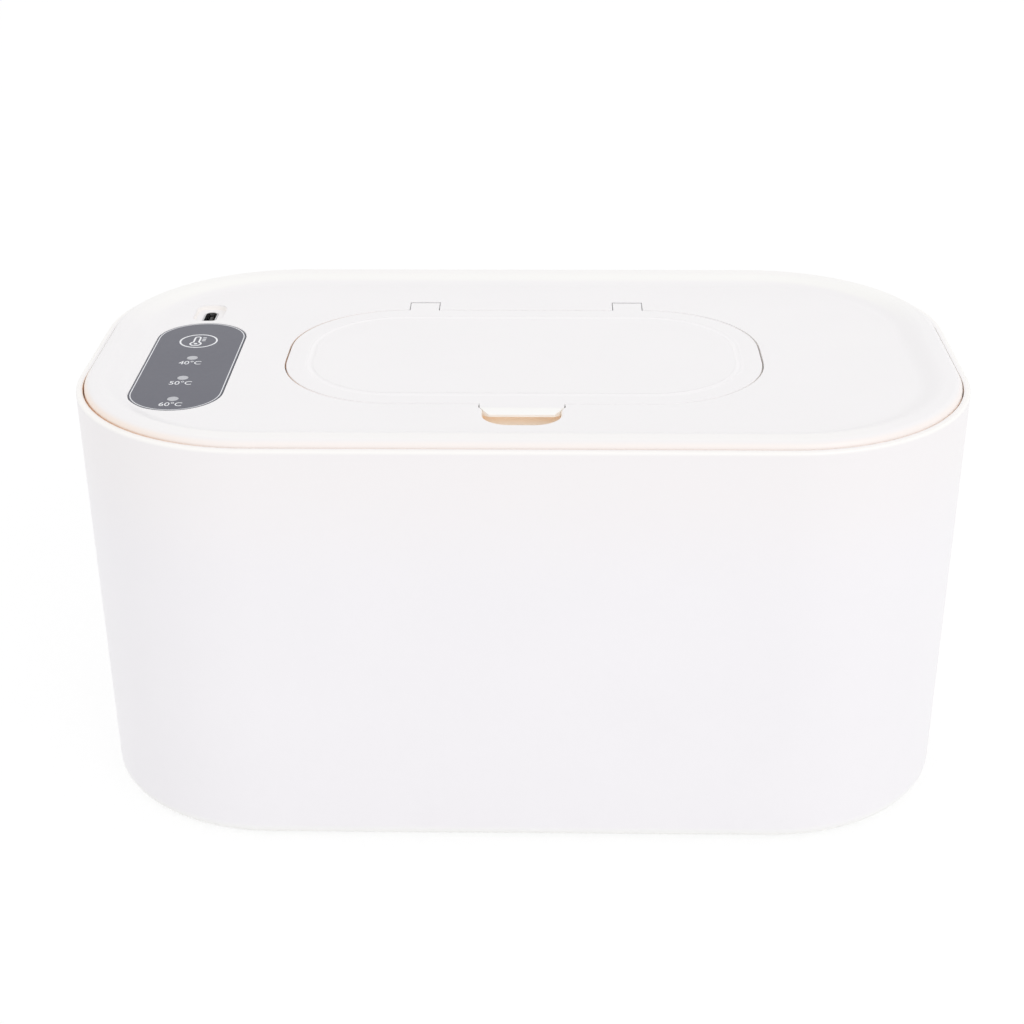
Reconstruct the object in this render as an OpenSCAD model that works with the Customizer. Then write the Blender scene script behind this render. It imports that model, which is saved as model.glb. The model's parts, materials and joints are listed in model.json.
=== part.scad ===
// Warmer for wet wipes: a drafted box, a lift-off lid that holds the heater and
// its electronics, and a hinged cover over the dispensing mouth in the lid.
// The origin is the middle of the footprint, on the surface that it stands on.
// +X runs along the long side, -Y is the front and +Z is up. Sizes are in mm.

/* [Body] */
// Length of the body across its rim
body_w = 200; // [188:1:230]
// Depth of the body across its rim
body_d = 118; // [112:1:140]
// Height of the body from its underside to its rim
body_h = 96; // [70:1:140]
// Plan radius of the corners at the rim
corner_r = 43.3; // [38:0.1:46]
// How far each side draws in between the rim and the base
draft = 1.7; // [0.5:0.1:4]
// Wall of the body
body_wall = 3; // [2.6:0.1:4]
// Floor of the body
floor_t = 3; // [2.2:0.1:5]
// Rounding of the body's bottom edge
base_round = 2.6; // [1:0.1:4]
// Rounding of the rim's outer edge
rim_round = 0.5; // [0.2:0.1:1]
// Depth of the step inside the rim that carries the lid
seat_depth = 3; // [2:0.1:4]

/* [Feet] */
// Diameter of a foot pad
foot_d = 12; // [8:0.5:16]
// Thickness of a foot pad
foot_t = 1.8; // [1.2:0.1:2.4]
// How far a foot stands proud of the underside
foot_stand = 0.6; // [0.4:0.1:1]
// From the body's end to a foot's centre
foot_end = 34; // [28:1:44]
// From the body's front or back to a foot's centre
foot_side = 24; // [20:1:30]

/* [Lid] */
// From the body's outer face to the seam round the lid
lid_inset = 1.6; // [1.3:0.1:2]
// Gap between the lid and the body's rim
lid_gap = 0.3; // [0.2:0.05:0.5]
// Height of the lid's crest over the body's rim
lid_rise = 1.7; // [1:0.1:4]
// Radius of the lid's outer edge
lid_round = 2; // [0.8:0.1:2.4]
// Width of the level crest
crest_w = 1.5; // [0.8:0.1:3]
// Width of the slope from the crest to the lid's floor
slope_w = 6.5; // [4:0.1:9]
// Depth of the lid's floor below its crest
dish = 1.8; // [1:0.1:2.4]
// Skin of the lid's cover
skin = 2; // [1.7:0.1:2.4]
// Height of the skirt below the step that the lid sits on
skirt_h = 11.2; // [10.6:0.1:14]
// Thickness of the skirt
skirt_t = 1.8; // [1.4:0.1:2]
// Gap between the skirt and the body's wall
skirt_gap = 0.4; // [0.3:0.05:0.6]
// Height of the gasket in the skirt
gasket_h = 2.6; // [1.8:0.1:4]
// Depth of the gasket's groove
gasket_groove = 0.9; // [0.5:0.1:1]
// From the seat down to the gasket
gasket_drop = 3; // [2:0.1:5]

/* [Dispensing cover] */
// Width of the seam round the cover
flip_w = 109.6; // [100:0.1:112]
// Depth of the seam round the cover
flip_d = 61.4; // [56:0.1:64]
// Plan radius of the seam's corners
flip_r = 26.2; // [20:0.1:27]
// Sideways place of the cover's middle
flip_x = 0.3; // [-1:0.1:2]
// Front-to-back place of the cover's middle
flip_y = -1.4; // [-3:0.1:0]
// Width of the seam's gap
flip_gap = 0.3; // [0.25:0.05:0.5]
// Thickness of the cover's plate
flip_t = 1.8; // [1.5:0.1:2]
// Bevel under the plate's edge
flip_bevel = 1.2; // [0.8:0.1:1.4]
// From the seam to the shallow line in the plate's face
line_in = 4.6; // [3:0.1:8]
// Width of that line
line_w = 1.6; // [0.8:0.1:2.4]
// Depth of that line
line_depth = 0.3; // [0.1:0.05:0.5]
// Height of the stiffening rib under the plate
rib_h = 3.2; // [1.5:0.1:3.4]
// Thickness of the stiffening rib
rib_t = 1.4; // [1:0.1:2]
// From the seam to the stiffening rib
rib_in = 5.7; // [4.5:0.1:8]
// Width of the finger tab where it leaves the plate
tab_root = 18.4; // [14:0.1:24]
// Width of the finger tab at its tip
tab_tip = 14.2; // [8:0.1:18]
// Length of the tab's level part
tab_flat = 2.1; // [1.6:0.1:3]
// Length of the bevel in front of it
tab_lip = 2.9; // [2:0.1:4]
// How far that bevel falls
tab_fall = 0.6; // [0.3:0.1:0.8]
// Upright edge at the tab's tip
tab_edge = 0.5; // [0.3:0.1:0.8]

/* [Hinge] */
// Radius of a hinge knuckle
knuckle_r = 2; // [1.9:0.05:2.4]
// Width of a hinge knuckle
knuckle_w = 7; // [6:0.1:14]
// Distance between the two knuckles' middles
knuckle_span = 50; // [30:1:56]
// From the hinge axis back to the end of a knuckle's level top
knuckle_tail = 1.9; // [1:0.1:1.9]
// From the seam back to the hinge axis
hinge_back = 3.4; // [3:0.1:5]
// Radius of a hinge pin
pin_r = 0.9; // [0.75:0.05:1]
// Running clearance of a knuckle on its pin
pin_play = 0.06; // [0.02:0.01:0.1]
// Gap round a knuckle in the lid
knuckle_gap = 0.4; // [0.35:0.05:0.6]
// Gap at each side of a knuckle
knuckle_side = 0.25; // [0.2:0.05:0.6]
// Length of pin held by the lid on each side of a knuckle
ear_w = 3; // [2:0.1:4]

/* [Well and mouth] */
// Depth of the well under the dispensing cover
well_depth = 6; // [5.8:0.1:6.2]
// Walls and floor of the well
well_t = 1.8; // [1.4:0.1:2]
// Width of the ledge that the cover rests on
ledge_w = 2.4; // [1.5:0.1:3]
// Width of the finger scoop
scoop_w = 17; // [15:0.1:20]
// Plan radius of the scoop's corners
scoop_r = 6; // [4:0.1:7]
// How far the scoop reaches past the tip of the tab
scoop_reach = 6.6; // [5:0.1:7]
// Rounding at the bottom of the scoop
scoop_round = 2.5; // [1:0.1:3]
// Width of the mouth in the well's floor
mouth_w = 64; // [56:1:70]
// Depth of the mouth in the well's floor
mouth_d = 28; // [24:1:32]
// Height of the collar round the mouth
collar_h = 2; // [1:0.1:2.4]
// Thickness of the collar round the mouth
collar_t = 1.4; // [1:0.1:2]
// How far the collar stands back from the mouth
collar_back = 3.6; // [3:0.1:5]
// Length of the slot that the wipes come through
slot_w = 40; // [30:1:48]
// Width of that slot
slot_d = 7; // [5:0.5:10]
// Thickness of the soft insert's skin
insert_t = 1.4; // [1:0.1:1.8]

/* [Control panel] */
// Width of the control panel's film
panel_w = 21; // [18:0.5:22]
// Length of the control panel's film
panel_l = 56; // [50:0.5:60]
// From the body's left end to the panel's middle
panel_end = 23.5; // [23:0.1:26]
// From the body's front to the panel's near end
panel_front = 22.4; // [20:0.1:24]
// Depth of the panel's recess
panel_depth = 0.9; // [0.5:0.1:1]
// Thickness of the film
film_t = 0.8; // [0.4:0.1:0.9]
// Diameter of a light guide
guide_d = 2.5; // [2:0.1:3.5]
// From the panel's middle back to the first light
light_first = 4.3; // [2:0.1:6]
// Distance between the lights
light_pitch = 12.7; // [10:0.1:13]
// Number of lights
light_count = 3; // [2:1:3]
// From the panel's middle back to the touch key
key_y = 15.2; // [13:0.1:17]

/* [Inlet] */
// Width of the pocket round the socket
pocket_w = 7.2; // [6:0.1:9]
// Length of the pocket round the socket
pocket_l = 11.6; // [11:0.1:14]
// Depth of the pocket
pocket_depth = 1.2; // [0.8:0.1:1.4]
// Plan radius of the pocket's corners
pocket_r = 2.8; // [1:0.1:3]
// From the panel back to the pocket
pocket_gap = 1.7; // [1:0.1:3]
// From the pocket's near end to the socket's middle
socket_in = 4.9; // [4.8:0.1:6]
// Outer width of the socket's shell
socket_w = 3.26; // [3:0.01:3.6]
// Outer length of the socket's shell
socket_l = 8.94; // [8.6:0.01:9.2]
// Sheet that the socket's shell is made of
socket_t = 0.3; // [0.2:0.05:0.4]

/* [Circuit board] */
// Width of the board
pcb_w = 20; // [18:0.5:20.5]
// Thickness of the board
pcb_t = 1.6; // [1:0.1:1.6]
// From the lid's floor down to the board's top
pcb_drop = 8.7; // [8.5:0.1:8.9]
// Corner radius of the board
pcb_r = 3; // [1:0.5:4]

/* [Heater] */
// From the body's end to the heater's recess
heater_end = 37; // [36:0.5:42]
// From the body's front or back to the heater's recess
heater_side = 15; // [14.5:0.5:18]
// Corner radius of the heater's recess
heater_r = 30; // [20:1:34]
// Thickness of the heating plate
plate_t = 1; // [0.8:0.1:1.2]
// Thickness of the heating film
foil_t = 0.4; // [0.2:0.1:0.5]
// Thickness of the insulation over the film
pad_t = 2.2; // [2:0.1:2.2]
// Thickness of the lid's base moulding
base_t = 1.8; // [1.5:0.1:1.8]
// Clear passage for the wipes, wider than the mouth by this on each side
passage_margin = 6; // [5.5:0.1:7]

/* [Hidden] */
$fn = 64;

// Small clearance where two pieces of one assembly face each other
fit = 0.1;
// How far a cut runs past the face that it opens
past = 1;
// Steps in a quarter turn of a rounded edge
steps = 8;
// Rounding at the mouths of the well, of the recesses and of the scoop
well_ease = 0.2;
recess_ease = 0.25;
scoop_ease = 0.7;

// Heights of the main levels
under_z = foot_stand;
rim_z = under_z + body_h;
seat_z = rim_z - seat_depth;
crest_z = rim_z + lid_rise;
top_z = crest_z - dish;
skin_z = top_z - skin;
skirt_z = seat_z - skirt_h;
well_z = top_z - well_depth;
well_under_z = well_z - well_t;

// How far the drafted wall has drawn in at a height
function drawn(z) = draft * (rim_z - z) / body_h;

// Insets from the body's outline at the rim
lip_u = lid_inset - lid_gap / 2;
lid_u = lid_inset + lid_gap / 2;
skirt_u = body_wall + drawn(skirt_z) + skirt_gap;
skirt_in_u = skirt_u + skirt_t;
crest_u = lid_u + lid_round;
slope_u = crest_u + crest_w;
floor_u = slope_u + slope_w;

// Seam of the dispensing cover, and the hinge behind it
flip_back_y = flip_y + flip_d / 2;
flip_front_y = flip_y - flip_d / 2;
hinge_y = flip_back_y + hinge_back;
hinge_z = top_z - knuckle_r;
tail_round = 0.3;
tail_reach = norm([knuckle_tail - tail_round, knuckle_r - tail_round]) + tail_round;
room_r = tail_reach + knuckle_gap;
tab_tip_y = flip_front_y - tab_flat - tab_lip;
well_w = flip_w + flip_gap;
well_d = flip_d + flip_gap;
well_r = flip_r + flip_gap / 2;
scoop_front_y = tab_tip_y - scoop_reach;
scoop_l = flip_front_y + 2 * scoop_r - scoop_front_y;
ledge_z = top_z - flip_t - fit;

// Mouth, collar and passage for the wipes
collar_w = mouth_w + 2 * (collar_back + collar_t);
collar_d = mouth_d + 2 * (collar_back + collar_t);
collar_z = well_z + collar_h;
passage_w = mouth_w + 2 * passage_margin;
passage_d = mouth_d + 2 * passage_margin;
passage_t = 1.6;

// Control panel, touch key, lights and inlet
panel_x = -body_w / 2 + panel_end;
panel_y = -body_d / 2 + panel_front + panel_l / 2;
film_z = top_z - panel_depth + film_t;
pocket_front_y = panel_y + panel_l / 2 + pocket_gap;
pocket_x = panel_x - 0.9;
socket_y = pocket_front_y + socket_in;
pocket_z = top_z - pocket_depth;
light_ys = [for (i = [0:light_count - 1]) panel_y + light_first - i * light_pitch];

// Circuit board under the panel and the inlet
board_z = top_z - pcb_drop;
board_under_z = board_z - pcb_t;
board_front_y = panel_y - panel_l / 2 + 2;
board_back_y = socket_y + socket_l / 2 + 1.8;
board_l = board_back_y - board_front_y;
board_y = (board_front_y + board_back_y) / 2;
board_screw_x = pcb_w / 2 - 3;
board_screw_ys = [board_front_y + 3.6, pocket_front_y - 5.8];
led_w = 3.5;
led_l = 2.8;
led_h = 1.4;
led_dome = 0.3;
transistor_x = panel_x + 4.2;
transistor_y = panel_y - 16;

// Heater stack, from the heating plate up to the base's raised ceiling
heater_w = body_w - 2 * heater_end;
heater_d = body_d - 2 * heater_side;
heater_gap = 0.8;
plate_z = skirt_z + 0.2;
foil_z = plate_z + plate_t;
pad_z = foil_z + foil_t;
ceiling_z = pad_z + pad_t;
ceiling_top_z = ceiling_z + base_t;
raised_t = 1.6;
plate_hole_w = passage_w + 2 * (passage_t + heater_gap);
plate_hole_d = passage_d + 2 * (passage_t + heater_gap);

// Screws: shank, head, and the hole that a shank threads into
lid_screw_r = 1.2;
lid_head_r = 2.2;
lid_head_h = 1.6;
lid_screw_l = 8;
lid_pad_h = 3.2;
lid_boss_r = 3;
lid_pad_r = 3.6;
small_screw_r = 0.9;
small_head_r = 1.7;
small_head_h = 1.1;
small_boss_r = 2.2;
board_grip = 4;
plate_grip = 3.6;
plate_boss_h = 5;
hole_spare = 0.4;
bite = 0.04;
lid_boss_in = 9.4;
lid_screw_x = 45;
lid_screw_spots = [
    for (sx = [-1, 1], sy = [-1, 1]) [sx * lid_screw_x, sy * (body_d / 2 - lid_boss_in)],
    for (sx = [-1, 1]) [sx * (body_w / 2 - lid_boss_in), 0]
];
plate_screw_spots = [
    for (sx = [-1, 1], sy = [-1, 1]) [sx * (heater_w / 2 - 13), sy * (heater_d / 2 - 12)]
];

// Leads between the board and the heater, side by side along the front
lead_r = 0.6;
sensor_lead_r = 0.4;
lead_bend = 1.5;
lead_start_x = panel_x + pcb_w / 2 - 2;
lead_end_x = -heater_w / 2 + 4;
lead_top_z = board_z + 3.2;
heater_lead_ys = [panel_y - 15, panel_y - 12];
sensor_lead_ys = [board_screw_ys[1] + 4, board_screw_ys[1] + 6];
bead_r = 0.95;
bead_l = 3.2;
bead_y = (sensor_lead_ys[0] + sensor_lead_ys[1]) / 2;
bead_edge = 2.8;
fuse_r = 1;
fuse_l = 8;
fuse_x = lead_end_x;
fuse_y = heater_lead_ys[1] + fuse_l / 2 + 1.6;

// Where the sensor sits along X, clear of the rounded corner of the heater's recess
corner_y = max(0, bead_y + bead_l / 2 - (heater_d / 2 - heater_r));
sensor_end_x = heater_r - heater_w / 2 - sqrt(pow(heater_r - bead_edge, 2) - pow(corner_y, 2));

white = [0.95, 0.95, 0.96];
soft_white = [0.93, 0.93, 0.91];
grey_rubber = [0.75, 0.75, 0.74];
metal = [0.75, 0.76, 0.78];
dark = [0.12, 0.12, 0.13];

// Points of an arc round a centre, from one angle to another
function arc(c, r, from, to, n = steps) = [
    for (i = [0:n]) let (a = from + (to - from) * i / n) c + r * [cos(a), sin(a)]
];

// Sweeps an outline of [inset, height] points round a rounded rectangle
module ring_sweep(w, d, r, outline) {
    across = w - 2 * r;
    along = d - 2 * r;
    section = [for (p = outline) [r - p[0], p[1]]];
    for (turn = [0:3]) {
        sx = turn == 0 || turn == 3 ? 1 : -1;
        sy = turn < 2 ? 1 : -1;
        run = turn % 2 == 0 ? across : along;
        reach = turn % 2 == 0 ? along / 2 : across / 2;
        translate([sx * across / 2, sy * along / 2, 0])
            rotate([0, 0, 90 * turn])
                rotate_extrude(angle = 90)
                    polygon(section);
        if (run > 0.01)
            rotate([0, 0, 90 * (turn + 1)])
                translate([reach, run / 2, 0])
                    rotate([90, 0, 0])
                        linear_extrude(run)
                            polygon(section);
    }
}

// Fills the middle that a sweep leaves open when its outline reaches the corner's axis
module core(w, d, r, z0, z1) {
    if (w - 2 * r > 0.01 && d - 2 * r > 0.01)
        translate([-(w / 2 - r), -(d / 2 - r), z0])
            cube([w - 2 * r, d - 2 * r, z1 - z0]);
}

// Flat plate with upright edges
module plate(w, d, r, z0, z1) {
    ring_sweep(w, d, r, [[0, z0], [r, z0], [r, z1], [0, z1]]);
    core(w, d, r, z0, z1);
}

// Recess with upright walls, whose mouth at z1 is rounded over
module recess(w, d, r, z0, z1, ease) {
    ring_sweep(w, d, r, concat(
        [[r, z0], [0, z0]],
        arc([-ease, z1 - ease], ease, 0, 90, 3),
        [[-ease, z1 + past], [r, z1 + past]]
    ));
    core(w, d, r, z0, z1 + past);
}

// Upright wall of thickness t inside an outline
module wall_ring(w, d, r, t, z0, z1) {
    ring_sweep(w, d, r, [[0, z0], [t, z0], [t, z1], [0, z1]]);
}

// Bar with semicircular ends along Y
module bar(w, l, z0, z1) {
    plate(w, l, w / 2, z0, z1);
}

// Profile drawn as [y, z] points, run along X about a middle
module run_x(x, w, outline) {
    translate([x - w / 2, 0, 0])
        rotate([90, 0, 90])
            linear_extrude(w)
                polygon(outline);
}

// Screw that stands upright with its head down and its head's top face at z
module screw(spot, z, shank_r, shank_l, head_r, head_h) {
    socket_d = head_h * 0.6;
    translate([spot[0], spot[1], 0])
        difference() {
            union() {
                translate([0, 0, z - head_h])
                    rotate_extrude()
                        polygon(concat(
                            [[0, 0], [head_r - 0.3, 0], [head_r, 0.3]],
                            [[head_r, head_h], [0, head_h]]
                        ));
                translate([0, 0, z])
                    cylinder(r = shank_r, h = shank_l - 0.6);
                translate([0, 0, z + shank_l - 0.6])
                    cylinder(r1 = shank_r, r2 = shank_r * 0.4, h = 0.6);
            }
            for (a = [0, 90])
                rotate([0, 0, a])
                    translate([-head_r * 0.55, -head_r * 0.12, z - head_h - past])
                        cube([head_r * 1.1, head_r * 0.24, socket_d + past]);
        }
}

// Round lead that rises from z0, runs along X at z1 and drops to z2
module bent_lead(x0, x1, y, z0, z1, z2, r) {
    b = lead_bend;
    translate([x0, y, z0])
        cylinder(r = r, h = z1 - b - z0);
    translate([x0 + b, y, z1 - b])
        rotate([90, 0, 0])
            rotate([0, 0, 90])
                rotate_extrude(angle = 90)
                    translate([b, 0])
                        circle(r = r);
    translate([x0 + b, y, z1])
        rotate([0, 90, 0])
            cylinder(r = r, h = x1 - x0 - 2 * b);
    translate([x1 - b, y, z1 - b])
        rotate([90, 0, 0])
            rotate_extrude(angle = 90)
                translate([b, 0])
                    circle(r = r);
    translate([x1, y, z2])
        cylinder(r = r, h = z1 - b - z2);
}

// Height of the lid's face where it slopes from the crest to the floor
function slope_z(t) = top_z + dish * (1 + cos(180 * t)) / 2;

module body_shell() {
    inner_round = 2;
    inner_z = under_z + floor_t;
    base_u = drawn(under_z + base_round) + base_round;
    inner_u = body_wall + drawn(inner_z + inner_round) + inner_round;
    outline = concat(
        [[corner_r, under_z]],
        arc([base_u, under_z + base_round], base_round, 270, 180),
        arc([rim_round, rim_z - rim_round], rim_round, 180, 90, 4),
        [[lip_u, rim_z], [lip_u, seat_z], [body_wall + drawn(seat_z), seat_z]],
        arc([inner_u, inner_z + inner_round], inner_round, 180, 270),
        [[corner_r, inner_z]]
    );
    color(white)
        difference() {
            union() {
                ring_sweep(body_w, body_d, corner_r, outline);
                core(body_w, body_d, corner_r, under_z, inner_z);
            }
            for (sx = [-1, 1], sy = [-1, 1])
                translate([sx * (body_w / 2 - foot_end), sy * (body_d / 2 - foot_side), under_z - past])
                    cylinder(d = foot_d + 2 * fit, h = past + foot_t - foot_stand);
        }
}

module rubber_feet() {
    edge = 0.4;
    color(grey_rubber)
        for (sx = [-1, 1], sy = [-1, 1])
            translate([sx * (body_w / 2 - foot_end), sy * (body_d / 2 - foot_side), 0])
                rotate_extrude()
                    polygon([
                        [0, 0], [foot_d / 2 - edge, 0], [foot_d / 2, edge],
                        [foot_d / 2, foot_t], [0, foot_t]
                    ]);
}

// Outline of the lid's cover: edge, crest, slope, floor and skirt with its groove
function cover_outline() = concat(
    [[lid_u, seat_z]],
    arc([crest_u, crest_z - lid_round], lid_round, 180, 90),
    [for (i = [0:2 * steps]) let (t = i / (2 * steps)) [slope_u + slope_w * t, slope_z(t)]],
    [[corner_r, top_z], [corner_r, skin_z]],
    [for (i = [0:steps]) let (t = 1 - i / steps)
        [skirt_in_u + (floor_u - skirt_in_u) * t, slope_z(t) - skin]],
    [
        [skirt_in_u, skirt_z], [skirt_u, skirt_z],
        [skirt_u, seat_z - gasket_drop - gasket_h],
        [skirt_u + gasket_groove, seat_z - gasket_drop - gasket_h],
        [skirt_u + gasket_groove, seat_z - gasket_drop],
        [skirt_u, seat_z - gasket_drop],
        [skirt_u, seat_z]
    ]
);

// Finger tab in plan, grown by a gap
module tab_plan(grow) {
    back = flip_front_y + ledge_w + 1;
    cut = flip_front_y - tab_flat;
    polygon([
        [-tab_root / 2 - grow, back], [-tab_root / 2 - grow, cut],
        [-tab_tip / 2 - grow, tab_tip_y - grow], [tab_tip / 2 + grow, tab_tip_y - grow],
        [tab_root / 2 + grow, cut], [tab_root / 2 + grow, back]
    ]);
}

// Finger tab: a level tongue whose front falls away in a bevel
module tab() {
    under = top_z - flip_t;
    back = flip_front_y + ledge_w;
    intersection() {
        translate([flip_x, 0, under - past])
            linear_extrude(flip_t + 2 * past)
                tab_plan(0);
        run_x(flip_x, tab_root + past, [
            [back, under], [flip_front_y - tab_flat, under],
            [tab_tip_y, top_z - tab_fall - tab_edge], [tab_tip_y, top_z - tab_fall],
            [flip_front_y - tab_flat, top_z], [back, top_z]
        ]);
    }
}

// Space of the finger scoop, or with grow the moulding round it
module scoop(z0, z1, grow, ease) {
    w = scoop_w + 2 * grow;
    l = scoop_l + 2 * grow;
    r = scoop_r + grow;
    outline = concat(
        [[r, z0]],
        arc([scoop_round, z0 + scoop_round], scoop_round, 270, 180),
        ease > 0 ? arc([-ease, z1 - ease], ease, 0, 90, 3) : [[0, z1]],
        ease > 0 ? [[-ease, z1 + past], [r, z1 + past]] : [[r, z1]]
    );
    translate([flip_x, scoop_front_y + scoop_l / 2, 0]) {
        ring_sweep(w, l, r, outline);
        core(w, l, r, z0, ease > 0 ? z1 + past : z1);
    }
}

// Room for one knuckle and its arm, seen along the hinge; it is wider below than at its mouth
function knuckle_room() = concat(
    [[flip_back_y - ledge_w - 1, top_z + past], [flip_back_y - ledge_w - 1, hinge_z - room_r]],
    arc([hinge_y, hinge_z], room_r, 270, 360 + acos((knuckle_r + knuckle_gap) / room_r), 3 * steps),
    [[hinge_y + knuckle_r + knuckle_gap, top_z + past]]
);

knuckle_xs = [flip_x - knuckle_span / 2, flip_x + knuckle_span / 2];
hinge_block_w = knuckle_w + 2 * knuckle_side + 2 * ear_w;
hinge_block_y = hinge_y + room_r + 1.4;
hinge_block_z = hinge_z - room_r - 1.4;
pin_l = knuckle_w + 2 * knuckle_side + 2 * ear_w - 0.6;

module lid_cover() {
    color(white)
        difference() {
            union() {
                ring_sweep(body_w, body_d, corner_r, cover_outline());
                core(body_w, body_d, corner_r, skin_z, top_z);
                translate([flip_x, flip_y, 0])
                    plate(well_w + 2 * well_t, well_d + 2 * well_t, well_r + well_t, well_under_z, skin_z + fit);
                scoop(well_under_z, skin_z + fit, well_t, 0);
                for (x = knuckle_xs)
                    translate([x - hinge_block_w / 2, flip_back_y, hinge_block_z])
                        cube([hinge_block_w, hinge_block_y - flip_back_y, skin_z + fit - hinge_block_z]);
                for (p = lid_screw_spots)
                    translate([p[0], p[1], skirt_z + lid_pad_h])
                        cylinder(r = lid_boss_r, h = top_z - 0.8 - skirt_z - lid_pad_h);
                for (sx = [-1, 1], y = board_screw_ys)
                    translate([panel_x + sx * board_screw_x, y, board_z])
                        cylinder(r = small_boss_r, h = skin_z + fit - board_z);
                translate([pocket_x, socket_y, 0])
                    bar(socket_w + 4, socket_l + 4, skin_z - 1.6, skin_z + fit);
            }
            difference() {
                translate([flip_x, flip_y, 0])
                    recess(well_w, well_d, well_r, well_z, top_z, well_ease);
                translate([flip_x, flip_y, 0])
                    wall_ring(well_w + 2, well_d + 2, well_r + 1, ledge_w + 1, well_z - past, ledge_z);
                translate([flip_x, 0, 0])
                    wall_ring(collar_w, collar_d, collar_d / 2 - fit, collar_t, well_z - past, collar_z);
            }
            translate([flip_x, 0, ledge_z])
                linear_extrude(top_z - ledge_z + past)
                    tab_plan(flip_gap);
            difference() {
                scoop(well_z, top_z, 0, scoop_ease);
                translate([flip_x, flip_y, 0])
                    plate(well_w, well_d, well_r, well_z - past, ledge_z);
            }
            for (x = knuckle_xs)
                run_x(x, knuckle_w + 2 * knuckle_side, knuckle_room());
            for (x = knuckle_xs)
                translate([x - pin_l / 2 - fit, hinge_y, hinge_z])
                    rotate([0, 90, 0])
                        cylinder(r = pin_r + 0.02, h = pin_l + 2 * fit);
            translate([flip_x, 0, 0])
                plate(mouth_w, mouth_d, mouth_d / 2 - fit, well_under_z - past, well_z + past);
            translate([panel_x, panel_y, 0])
                recess(panel_w, panel_l, panel_w / 2 - fit, top_z - panel_depth, top_z, recess_ease);
            for (y = light_ys)
                translate([panel_x, y, skin_z - past])
                    cylinder(d = guide_d + 0.3, h = skin + 2 * past);
            translate([pocket_x, pocket_front_y + pocket_l / 2, 0])
                recess(pocket_w, pocket_l, pocket_r, pocket_z, top_z, recess_ease);
            translate([pocket_x, socket_y, 0])
                bar(socket_w + 2 * fit, socket_l + 2 * fit, skin_z - 1.6 - past, top_z + past);
            for (p = lid_screw_spots)
                translate([p[0], p[1], skirt_z])
                    cylinder(r = lid_screw_r + bite, h = lid_screw_l + 2.4);
            for (sx = [-1, 1], y = board_screw_ys)
                translate([panel_x + sx * board_screw_x, y, board_z - past])
                    cylinder(r = small_screw_r + bite, h = past + board_grip + hole_spare);
        }
}

module lid_base() {
    edge_u = skirt_in_u + 2 * fit;
    raised_w = heater_w + 2 * raised_t;
    raised_d = heater_d + 2 * raised_t;
    tube_w = passage_w + 2 * passage_t;
    tube_d = passage_d + 2 * passage_t;
    color(soft_white)
        difference() {
            union() {
                plate(body_w - 2 * edge_u, body_d - 2 * edge_u, corner_r - edge_u, skirt_z, skirt_z + base_t);
                plate(raised_w, raised_d, heater_r + raised_t, skirt_z, ceiling_top_z);
                translate([flip_x, 0, 0])
                    plate(tube_w, tube_d, tube_d / 2 - fit, skirt_z, well_under_z - fit);
                for (p = lid_screw_spots)
                    translate([p[0], p[1], skirt_z])
                        cylinder(r = lid_pad_r, h = lid_pad_h - fit);
                for (p = plate_screw_spots)
                    translate([p[0], p[1], ceiling_z])
                        cylinder(r = small_boss_r, h = plate_boss_h);
            }
            difference() {
                plate(heater_w, heater_d, heater_r, skirt_z - past, ceiling_z);
                translate([flip_x, 0, 0])
                    plate(tube_w, tube_d, tube_d / 2 - fit, skirt_z - 2 * past, ceiling_z + past);
            }
            translate([flip_x, 0, 0])
                plate(passage_w, passage_d, passage_d / 2 - fit, skirt_z - past, well_under_z + past);
            for (p = lid_screw_spots) {
                translate([p[0], p[1], skirt_z - past])
                    cylinder(r = lid_screw_r + 0.2, h = lid_pad_h + 2 * past);
                translate([p[0], p[1], skirt_z - past])
                    cylinder(r = lid_head_r + 0.2, h = past + lid_head_h + 0.1);
            }
            for (p = plate_screw_spots)
                translate([p[0], p[1], ceiling_z - past])
                    cylinder(r = small_screw_r + bite, h = past + plate_grip + hole_spare);
            for (y = heater_lead_ys)
                translate([lead_end_x, y, ceiling_z - past])
                    cylinder(r = lead_r + 0.4, h = base_t + 2 * past);
            for (y = sensor_lead_ys)
                translate([sensor_end_x, y, ceiling_z - past])
                    cylinder(r = sensor_lead_r + 0.3, h = base_t + 2 * past);
        }
}

module lid_gasket() {
    lip_out_u = body_wall + drawn(seat_z - gasket_drop) + 0.2;
    z0 = seat_z - gasket_drop - gasket_h + fit;
    z1 = seat_z - gasket_drop - fit;
    mid_z = (z0 + z1) / 2;
    color(grey_rubber)
        ring_sweep(body_w, body_d, corner_r, [
            [skirt_u + gasket_groove, z0], [skirt_u, z0], [skirt_u - 0.1, z0 + 0.3],
            [lip_out_u, mid_z - 0.2], [lip_out_u, mid_z + 0.3],
            [skirt_u - 0.1, z1 - 0.3], [skirt_u, z1], [skirt_u + gasket_groove, z1]
        ]);
}

module lid_screws() {
    color(metal)
        for (p = lid_screw_spots)
            screw(p, skirt_z + lid_head_h + 0.1, lid_screw_r, lid_screw_l, lid_head_r, lid_head_h);
}

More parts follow.
